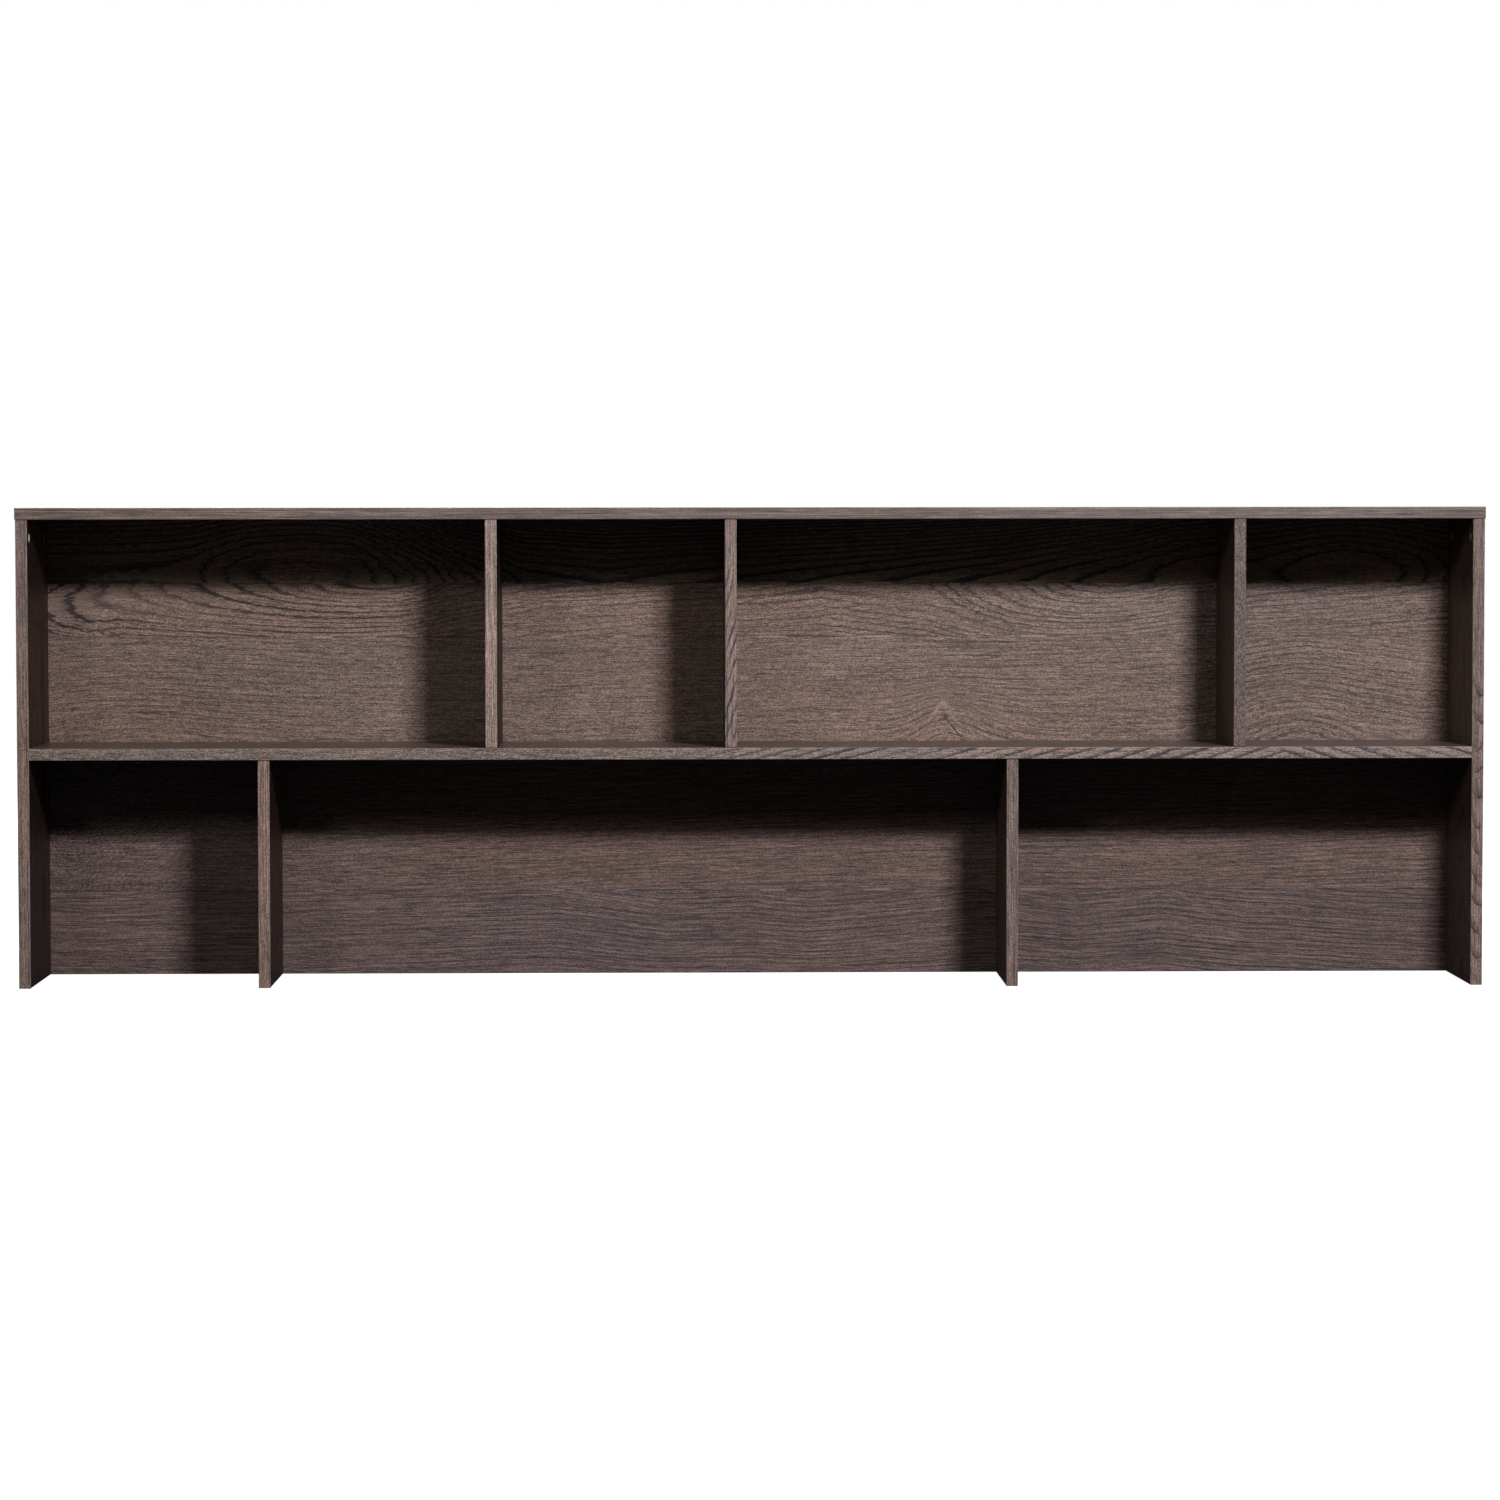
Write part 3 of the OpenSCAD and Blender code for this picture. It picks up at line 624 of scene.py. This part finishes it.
# (u, depth, height of the heart, strength of the rings)
BACK_PLANKS = [
    # painted light: the top plank lies in the top panel's shadow, and its tint is raised above the others' to brighten
    # that shadow
    (0.5495, dict(Seed=1.0, Ring=0.030, Wave=0.005, Jag=0.30, Crowd=1.0, Thin=0.19, Zone=0.50, Pores=0.38, Grain=0.75, Fine=1.0, Long=1.3, Tint=(1.30, 1.29, 1.27)), [
        (-1.00, 0.055, 0.560, 0.70), (-0.90, 0.055, 0.561, 0.90), (-0.82, 0.054, 0.562, 0.95), (-0.777, 0.0500, 0.562, 1.00), (-0.7465, 0.0395, 0.562, 1.00),
        (-0.691, 0.018, 0.562, 1.00), (-0.625, 0.000, 0.562, 1.00), (-0.561, 0.018, 0.560, 1.00), (-0.519, 0.0395, 0.554, 1.00), (-0.471, 0.0555, 0.546, 1.00),
        (-0.410, 0.076, 0.540, 1.00), (-0.319, 0.092, 0.537, 1.00), (-0.20, 0.096, 0.535, 0.95), (0.00, 0.089, 0.535, 0.95), (0.20, 0.080, 0.535, 0.95),
        (0.35, 0.0720, 0.537, 0.95), (0.425, 0.0655, 0.540, 1.00), (0.532, 0.0580, 0.548, 1.00), (0.601, 0.0507, 0.558, 1.00), (0.721, 0.041, 0.562, 1.00),
        (0.766, 0.0325, 0.562, 1.00), (0.805, 0.024, 0.563, 1.00), (0.8365, 0.019, 0.563, 1.00), (0.87, 0.024, 0.563, 1.00), (0.907, 0.0325, 0.562, 1.00), (0.95, 0.045, 0.562, 1.00), (1.00, 0.060, 0.565, 0.9)]),
    (0.4740, dict(Seed=12.0, Ring=0.0068, Wave=0.007, Jag=0.70, Crowd=0.0, Thin=0.24, Zone=0.45, Pores=0.46, Grain=0.77, Fine=1.05, Long=1.1, Tint=(1.12, 1.12, 1.12)), [
        (-1.00, 0.084, 0.516, 1.00), (-0.93, 0.072, 0.522, 1.00), (-0.88, 0.064, 0.540, 1.00), (-0.794, 0.051, 0.549, 1.00), (-0.73, 0.043, 0.550, 1.00), (-0.645, 0.029, 0.553, 1.00), (-0.54, 0.008, 0.558, 1.00), (-0.49, 0.000, 0.561, 0.90),
        (-0.42, 0.028, 0.570, 0.60), (-0.30, 0.032, 0.590, 0.45), (-0.05, 0.040, 0.600, 0.50), (0.10, 0.068, 0.588, 0.60), (0.25, 0.074, 0.560, 0.65),
        (0.36, 0.050, 0.549, 0.70), (0.44, 0.026, 0.556, 0.65), (0.525, 0.000, 0.563, 0.60), (0.60, 0.026, 0.570, 0.50), (0.78, 0.040, 0.575, 0.50), (1.00, 0.050, 0.590, 0.50)]),
    (0.3190, dict(Seed=23.0, Ring=0.0076, Wave=0.012, Jag=0.80, Crowd=0.0, Thin=0.20, Zone=0.35, Pores=0.48, Grain=0.81, Fine=1.12, Long=1.1, Tint=(1.12, 1.12, 1.11), Seam=0.0), [
        (-1.00, 0.040, 0.302, 0.15), (-0.86, 0.000, 0.300, 0.30), (-0.76, 0.034, 0.300, 0.45), (-0.64, 0.046, 0.300, 0.42), (-0.50, 0.046, 0.300, 0.15),
        (-0.20, 0.046, 0.290, 0.12), (0.12, 0.046, 0.290, 0.16), (0.24, 0.046, 0.290, 0.45), (0.36, 0.046, 0.290, 0.60), (0.48, 0.046, 0.295, 0.35),
        (0.62, 0.046, 0.305, 0.30), (0.70, 0.034, 0.312, 0.55), (0.775, 0.000, 0.316, 0.70), (0.85, 0.034, 0.312, 0.60), (0.93, 0.046, 0.305, 0.42), (1.00, 0.046, 0.300, 0.30)]),
    (0.1170, dict(Seed=29.0, Ring=0.0070, Wave=0.010, Jag=0.70, Crowd=0.0, Thin=0.24, Zone=0.40, Pores=0.50, Grain=0.88, Fine=1.12, Long=1.6, Tint=(0.875, 0.86, 0.905)), [
        (-1.00, 0.040, 0.290, 0.40), (-0.95, 0.020, 0.250, 0.60), (-0.90, 0.040, 0.290, 0.55), (-0.70, 0.045, 0.430, 0.30), (0.0, 0.045, 0.480, 0.35), (0.6, 0.045, 0.500, 0.40), (1.00, 0.045, 0.520, 0.4)]),
    (-1.0, dict(Seed=34.0, Ring=0.0066, Wave=0.008, Jag=0.50, Crowd=0.0, Thin=0.20, Zone=0.35, Pores=0.50, Grain=0.93, Fine=1.12, Long=2.0, Tint=(0.80, 0.82, 0.91)), [
        (-1.00, 0.120, 0.45, 0.30), (-0.50, 0.150, 0.45, 0.35), (-0.27, 0.170, 0.45, 0.50), (-0.12, 0.130, 0.45, 0.60), (0.00, 0.140, 0.45, 0.45), (0.08, 0.120, 0.45, 0.55), (0.33, 0.168, 0.45, 0.45), (0.46, 0.140, 0.45, 0.60),
        (0.58, 0.165, 0.45, 0.70), (0.70, 0.130, 0.45, 0.80), (0.76, 0.125, 0.45, 0.70), (0.87, 0.090, 0.45, 0.70), (1.00, 0.070, 0.45, 0.45)]),
]
dress("back_panel", back_material("back_oak", mid_of("back_panel", "Y"), BACK_PLANKS))
dress("top_panel", board_material("top_oak", "X", "Y", mid_of("top_panel", "Z"), specular=0.20, gloss=0.20, Seed=41.0, Heart=0.02, Depth=0.06, Rise=0.06, Ring=0.0075, Wave=0.010, Jag=0.6, Lines=0.75, Thin=0.20, Pores=0.48, Grain=0.9))
dress("middle_shelf", board_material("shelf_oak", "X", "Y", mid_of("middle_shelf", "Z"), tone=0.64, gloss=-0.10, Seed=47.0, Heart=-0.16, Depth=0.12, Rise=0.03, Ring=0.0075, Wave=0.010, Jag=0.6, Lines=0.75, Thin=0.20, Pores=0.48))
# painted shade: the uprights' boards get a darker, warmer tone than the other boards, the upper ones darker still,
# standing in for the shade their inner faces are seen in
UPRIGHT = dict(along="Z", across="Y", tone=0.66, tint=(1.06, 0.98, 0.96), specular=0.15)
for k, (node, seed, heart, rise) in enumerate((
    ("left_side_panel", 51.0, 0.03, 0.05),
    ("right_side_panel", 57.0, -0.04, 0.07),
    ("upper_divider_left", 61.0, 0.10, 0.04),
    ("upper_divider_center", 67.0, -0.02, 0.09),
    ("upper_divider_right", 71.0, -0.14, 0.03),
    ("lower_divider_left", 77.0, 0.05, 0.06),
    ("lower_divider_right", 83.0, -0.09, 0.05),
)):
    UPRIGHT["tone"] = 0.66 if node.startswith("lower") else 0.54
    dress(node, board_material(node + "_oak", mid=mid_of(node, "X"), Seed=seed, Heart=heart, Depth=0.07, Rise=rise, Ring=0.0072, Wave=0.010, Jag=0.6, Lines=0.70, Thin=0.20, Pores=0.48, Grain=0.95, **UPRIGHT))

# ---------------------------------------------------------------------------------------------
# Materials of the edge bands
# ---------------------------------------------------------------------------------------------


def shelf_stripes(n, u, v, seed):
    """Slanting stripes that meet in a point right of the middle and fade out on the left."""
    wob = n.sub(n.noise(n.xyz(n.mul(u, 5.0), n.mul(v, 26.0), seed), detail=2.0), 0.5)
    r = n.add_(n.m("ABSOLUTE", n.sub(u, 0.727)), n.mul(v, 3.4))
    r = n.mad(wob, 0.034, r)
    jag = n.sub(n.noise(n.xyz(n.mul(u, 60.0), n.mul(v, 240.0), seed + 3.0), detail=1.0), 0.5)
    show = n.mul(n.smooth(u, -0.16, 0.10), n.smooth(n.noise(n.xyz(n.mul(u, 6.0), n.mul(v, 20.0), seed + 8.0), detail=1.0), 0.30, 0.55, 0.5, 1.0))
    return n.mad(wob, 0.004, v), n.mad(jag, 0.16, n.m("DIVIDE", r, 0.0405)), show


def crossing_streaks(period, slope, low, high, width, curl=0.0, weight=0.9):
    """Dark streaks that run across an upright band at a slant between two heights."""
    def figure(n, u, v, seed):
        wob = n.sub(n.noise(n.xyz(n.mul(u, 13.0), n.mul(v, 45.0), seed), detail=1.5), 0.5)
        r = n.mad(v, slope, u)
        if curl:
            r = n.mad(n.mul(v, v), curl, r)
        r = n.mad(wob, width, r)
        jag = n.sub(n.noise(n.xyz(n.mul(u, 90.0), n.mul(v, 300.0), seed + 3.0), detail=1.0), 0.5)
        show = n.mul(n.smooth(u, low - 0.03, low + 0.02), n.smooth(u, high - 0.03, high + 0.03, 1.0, 0.0))
        show = n.mul(show, n.smooth(n.noise(n.xyz(n.mul(u, 11.0), n.mul(v, 60.0), seed + 8.0), detail=1.0), 0.36, 0.56, 0.2, 1.0))
        return n.mad(wob, 0.006, v), n.mad(jag, 0.20, n.m("DIVIDE", r, period)), n.mul(show, weight)
    return figure


BAND = dict(specular=0.4, Fine=1.45, Long=1.8, Wave=0.002, Jag=0.3)
z_mid = mid_of("top_panel_edge_bands", "Z")
dress("top_panel_edge_bands", band_material("top_band", "X", "Z", z_mid, tone=0.97, tint=(0.96, 1.03, 1.10), painted_light_ramp=(-0.095, 0.0), Seed=101.0, Heart=0.9, Ring=0.0034, Lines=0.30, Pores=0.46, **{**BAND, "Long": 3.5}))
z_mid = mid_of("middle_shelf_front_band", "Z")
dress("middle_shelf_front_band", band_material("shelf_band", "X", "Z", z_mid, tone=1.18, tint=(0.95, 1.035, 1.11), figure=shelf_stripes, ends=(-0.984, 0.984), Seed=107.0, Thin=0.10, Zone=1.55, Pores=0.44, specular=0.4, Fine=1.1, Long=1.0))
for node, seed, tone, tint, params in (
    ("left_side_edge_bands", 111.0, 1.22, (0.97, 1.02, 1.05), dict(Heart=0.4, Ring=0.0034, Lines=0.4, Pores=0.46)),
    ("right_side_edge_bands", 113.0, 1.01, (0.975, 1.015, 1.05), dict(painted_light_ramp=(-0.52, 0.36), Pores=0.44, Thin=0.10, Zone=0.8, figure=crossing_streaks(0.036, 0.9, 0.02, 0.42, 0.060, curl=-160.0, weight=0.95))),
    ("upper_divider_left_band", 117.0, 1.82, (0.96, 1.025, 1.05), dict(Heart=0.4, Ring=0.0036, Lines=0.45, Pores=0.60)),
    ("upper_divider_center_band", 119.0, 1.14, (0.97, 1.04, 1.06), dict(Pores=0.44, Thin=0.16, Zone=1.4, figure=crossing_streaks(0.030, -3.2, 0.33, 0.58, 0.034, weight=1.0))),
    ("upper_divider_right_band", 123.0, 0.73, (0.96, 1.01, 1.09), dict(Heart=0.2, Ring=0.0060, Lines=0.10, Pores=0.52, Long=0.13, Fine=0.9)),
    ("lower_divider_left_band", 127.0, 1.42, (1.0, 1.02, 1.01), dict(Heart=0.2, Ring=0.0036, Lines=0.4, Pores=0.50)),
    ("lower_divider_right_band", 131.0, 1.10, (0.985, 1.0, 1.04), dict(Heart=0.0, Ring=0.0036, Lines=0.4, Pores=0.50)),
):
    low, high = (corner.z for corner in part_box(node))
    if "lower" in node or "side" in node:
        low = -1.0
    dress(node, band_material(node + "_oak", "Z", "X", mid_of(node, "X"), tone=tone, tint=tint, ends=(low, high), Seed=seed, **{**BAND, **params}))
plain_band = dict(tone=1.1, tint=(0.985, 1.0, 1.04), Heart=0.4, Ring=0.0034, Lines=0.4, Pores=0.46, **BAND)
for k, node in enumerate(("left_side_foot_band", "right_side_foot_band", "lower_divider_left_foot_band", "lower_divider_right_foot_band")):
    dress(node, band_material(node + "_oak", "Y", "X", mid_of(node, "X"), Seed=141.0 + 3 * k, **plain_band))
dress("back_panel_bottom_band", band_material("back_bottom_band", "X", "Y", mid_of("back_panel_bottom_band", "Y"), Seed=157.0, **plain_band))

# ---------------------------------------------------------------------------------------------
# Materials of the fittings
# ---------------------------------------------------------------------------------------------

zinc = metal_material("cam_zinc", (0.66, 0.655, 0.64, 1.0), (0.42, 0.415, 0.40, 1.0), 0.26, cast=True)
zinc_dull = metal_material("cam_zinc_dulled", (0.66, 0.62, 0.57, 1.0), (0.46, 0.43, 0.39, 1.0), 0.46, cast=True, metallic=0.4)
dress("top_cam_locks", zinc_dull)
for node in ("shelf_cam_locks", "divider_cam_locks", "back_cam_locks"):
    dress(node, zinc)
steel_up = metal_material("bolt_steel_upright", (0.70, 0.675, 0.58, 1.0), (0.50, 0.48, 0.42, 1.0), 0.22, along=(1.0, 1.0, 5.0))
steel_along = metal_material("bolt_steel_lengthwise", (0.70, 0.675, 0.58, 1.0), (0.50, 0.48, 0.42, 1.0), 0.22, along=(5.0, 1.0, 1.0))
steel_deep = metal_material("screw_steel", (0.62, 0.62, 0.61, 1.0), (0.42, 0.42, 0.42, 1.0), 0.24, along=(1.0, 5.0, 1.0))
dress("top_cam_bolts", steel_up)
dress("divider_cam_bolts", steel_up)
dress("shelf_cam_bolts", steel_along)
dress("back_cam_bolts", steel_along)
dress("back_panel_screws", steel_deep)
beech_up = dowel_material("dowel_beech_upright", "Z")
beech_along = dowel_material("dowel_beech_lengthwise", "X")
for node in ("top_dowels", "divider_top_dowels", "divider_shelf_dowels", "back_panel_dowels"):
    dress(node, beech_up)
dress("shelf_dowels", beech_along)
dress("screw_cover_caps", cap_material())

# ---------------------------------------------------------------------------------------------
# Floor and surroundings
# ---------------------------------------------------------------------------------------------


def make_floor():
    mesh = bpy.data.meshes.new("floor")
    s = 60.0
    mesh.from_pydata([(-s, -s, 0.0), (s, -s, 0.0), (s, s, 0.0), (-s, s, 0.0)], [], [(0, 1, 2, 3)])
    ob = bpy.data.objects.new("floor", mesh)
    ob.location = (0.0, 0.0, -0.0006)
    scene.collection.objects.link(ob)
    mat = bpy.data.materials.new("pale_floor")
    mat.use_nodes = True
    nt = mat.node_tree
    nt.nodes.clear()
    n = Net(nt)
    out = n.add("ShaderNodeOutputMaterial")
    glow = n.add("ShaderNodeEmission")
    glow.inputs["Color"].default_value = (1.0, 1.0, 1.0, 1.0)
    glow.inputs["Strength"].default_value = 0.985
    matt = n.add("ShaderNodeBsdfDiffuse")
    matt.inputs["Color"].default_value = (0.5, 0.5, 0.5, 1.0)
    both = n.add("ShaderNodeAddShader")
    nt.links.new(glow.outputs[0], both.inputs[0])
    nt.links.new(matt.outputs[0], both.inputs[1])
    nt.links.new(both.outputs[0], out.inputs[0])
    mat.cycles.emission_sampling = "NONE"
    mesh.materials.append(mat)
    # It is there for the eye: it throws no light back up into the compartments.
    ob.visible_diffuse = False
    ob.visible_glossy = False
    return ob


floor = make_floor()

world = bpy.data.worlds.new("studio")
scene.world = world
world.use_nodes = True
wt = world.node_tree
wt.nodes.clear()
wn = Net(wt)
w_out = wn.add("ShaderNodeOutputWorld")
seen = wn.add("ShaderNodeBackground")
seen.inputs["Color"].default_value = (1.0, 1.0, 1.0, 1.0)
seen.inputs["Strength"].default_value = 1.0
dim = wn.add("ShaderNodeBackground")
dim.inputs["Color"].default_value = (1.0, 0.97, 0.95, 1.0)
dim.inputs["Strength"].default_value = 0.034
pick = wn.add("ShaderNodeMixShader")
wt.links.new(wn.add("ShaderNodeLightPath").outputs["Is Camera Ray"], pick.inputs[0])
wt.links.new(dim.outputs[0], pick.inputs[1])
wt.links.new(seen.outputs[0], pick.inputs[2])
wt.links.new(pick.outputs[0], w_out.inputs[0])

# ---------------------------------------------------------------------------------------------
# Soft studio lights
# ---------------------------------------------------------------------------------------------


def softbox(name, at, to, size, power, colour=(1.0, 1.0, 1.0), size_y=None, spread=math.pi):
    data = bpy.data.lights.new(name, "AREA")
    data.shape = "RECTANGLE"
    data.size = size
    data.size_y = size_y or size
    data.energy = power
    data.color = colour
    data.spread = spread
    ob = bpy.data.objects.new(name, data)
    ob.location = at
    d = Vector(to) - Vector(at)
    ob.rotation_euler = d.to_track_quat("-Z", "Y").to_euler()
    ob.visible_camera = False
    scene.collection.objects.link(ob)
    return ob


UPRIGHTS = ("left_side_panel", "right_side_panel", "upper_divider_left", "upper_divider_center", "upper_divider_right", "lower_divider_left", "lower_divider_right")


def keep_to(light, nodes, only):
    """Lets a light reach only these nodes, or everything but them."""
    lot = bpy.data.collections.new(light.name + "_reach")
    for node in nodes:
        lot.objects.link(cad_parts[node])
    light.light_linking.receiver_collection = lot
    for member in lot.collection_objects:
        member.light_linking.link_state = "INCLUDE" if only else "EXCLUDE"


KEY_AT, KEY_TO = (1.30, -3.17, 2.18), (-0.95, 0.0, 0.40)
key = softbox("key_light", KEY_AT, KEY_TO, 0.56, 126.0, (1.0, 0.94, 0.95), size_y=0.30, spread=math.radians(166.0))
keep_to(key, UPRIGHTS, False)
# The uprights' faces get less of it, as they do when a flag shades them.
key_low = softbox("key_light_on_uprights", KEY_AT, KEY_TO, 0.56, 20.0, (1.0, 0.94, 0.95), size_y=0.30, spread=math.radians(166.0))
keep_to(key_low, UPRIGHTS, True)
side_fill = softbox("fill_light", (-2.34, -4.5, 2.7), (0.0, 0.0, 0.35), 0.9, 39.0, (1.0, 0.92, 0.90))
# a small lamp that only picks out the cam locks
glint = softbox("cam_glint", (1.25, -2.6, 1.57), (-0.983, -0.05, 0.60), 0.35, 95.0, (1.0, 0.80, 0.68))
keep_to(glint, ("top_cam_locks",), True)
rear = softbox("rear_light", (-0.9, 3.6, 2.2), (0.0, 0.1, 0.3), 1.6, 95.0)
top = softbox("overhead_light", (0.0, 0.35, 2.9), (0.0, 0.05, 0.65), 1.2, 40.0)
left_out = softbox("left_light", (-3.6, 1.1, 1.5), (-1.0, 0.1, 0.3), 1.2, 36.0)
right_out = softbox("right_light", (3.6, 1.1, 1.5), (1.0, 0.1, 0.3), 1.2, 36.0)

# ---------------------------------------------------------------------------------------------
# Camera: about 6 m in front, a little left of the middle and at the height of the top panel
# ---------------------------------------------------------------------------------------------

FRONT = -0.1075
CAM_AT = Vector((-0.106, FRONT - 6.079, 0.618))
pitch, yaw, roll = math.radians(2.77), math.radians(0.97), math.radians(-0.060)
fwd = Vector((math.sin(yaw) * math.cos(pitch), math.cos(yaw) * math.cos(pitch), -math.sin(pitch)))
right = Vector((math.cos(yaw), -math.sin(yaw), 0.0))
up = right.cross(fwd)
r2 = right * math.cos(roll) + up * math.sin(roll)
u2 = -right * math.sin(roll) + up * math.cos(roll)
cam_data = bpy.data.cameras.new("camera")
cam_data.sensor_fit = "HORIZONTAL"
cam_data.sensor_width = 36.0
cam_data.lens = 36.0 * 4469.0 / 1500.0
cam_data.clip_start = 0.1
cam_data.clip_end = 200.0
cam_data.dof.use_dof = False
cam = bpy.data.objects.new("camera", cam_data)
cam.matrix_world = Matrix((
    (r2.x, u2.x, -fwd.x, CAM_AT.x),
    (r2.y, u2.y, -fwd.y, CAM_AT.y),
    (r2.z, u2.z, -fwd.z, CAM_AT.z),
    (0.0, 0.0, 0.0, 1.0),
))
scene.collection.objects.link(cam)
scene.camera = cam

scene.view_settings.view_transform = "Standard"
scene.view_settings.look = "None"
scene.view_settings.exposure = 0.0
scene.view_settings.gamma = 1.0
